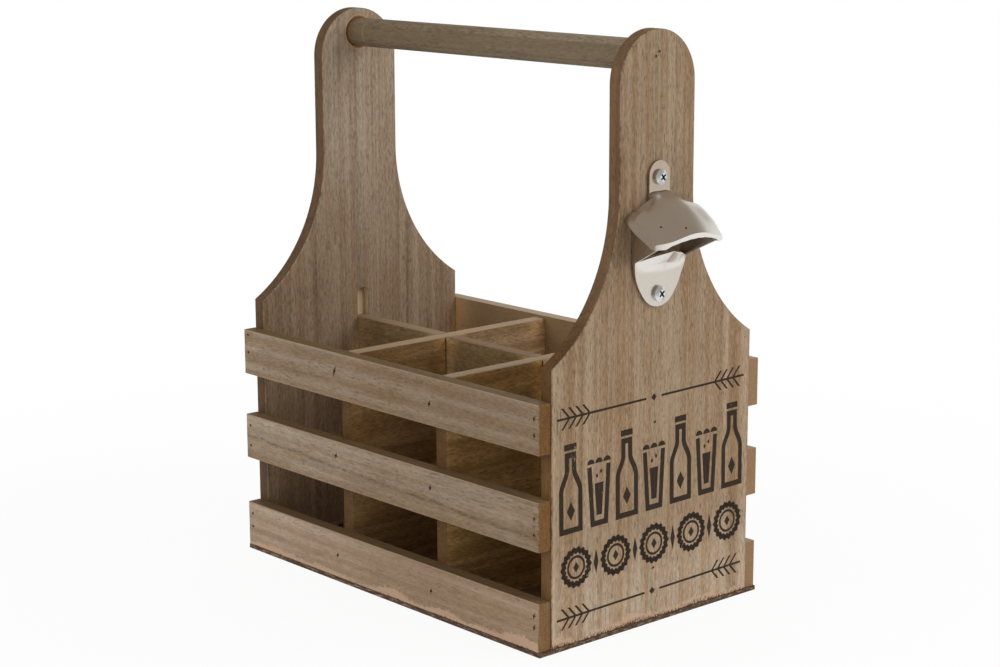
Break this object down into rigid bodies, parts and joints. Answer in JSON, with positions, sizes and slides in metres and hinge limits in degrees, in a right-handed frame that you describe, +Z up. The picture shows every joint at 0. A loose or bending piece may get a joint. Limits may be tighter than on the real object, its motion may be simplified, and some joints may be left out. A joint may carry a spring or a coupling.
{
  "type": "bottle caddy",
  "caption": "Slatted wooden carrier with divided cells for bottles, a dowel handle between two shaped end boards, and a cast bottle opener on one end.",
  "frame": {"origin": "under the middle of the base board, on the surface that it stands on", "axes": "+X along the handle towards the end with the opener, +Y across towards the back slats, +Z up"},
  "size_m": [0.3078, 0.178, 0.3425],
  "materials": {
    "end_board_wood": "greyed stain, fine upright grain, satin",
    "slat_wood": "greyed stain, grain along the slat, satin",
    "divider_wood": "warm brown stain, satin",
    "base_wood": "thin dark sheet with rough edges",
    "dowel_wood": "greyed stain, warmer at the ends",
    "opener_nickel": "satin nickel plate",
    "screw_zinc": "bright zinc plate",
    "brad_steel": "dull wire in stained holes"
  },
  "bodies": {
    "root": {"end_board_left": "end_board_wood", "end_board_right": "end_board_wood", "slat_front_lower": "slat_wood", "slat_front_middle": "slat_wood", "slat_front_upper": "slat_wood", "slat_back_lower": "slat_wood", "slat_back_middle": "slat_wood", "slat_back_upper": "slat_wood", "base_board": "base_wood", "long_divider": "divider_wood", "cross_divider_left": "divider_wood", "cross_divider_right": "divider_wood", "handle_dowel": "dowel_wood", "bottle_opener": "opener_nickel", "opener_screws": "screw_zinc", "slat_brads": "brad_steel", "handle_brads": "brad_steel", "divider_brads": "brad_steel", "base_brads": "brad_steel"}
  },
  "joints": []
}
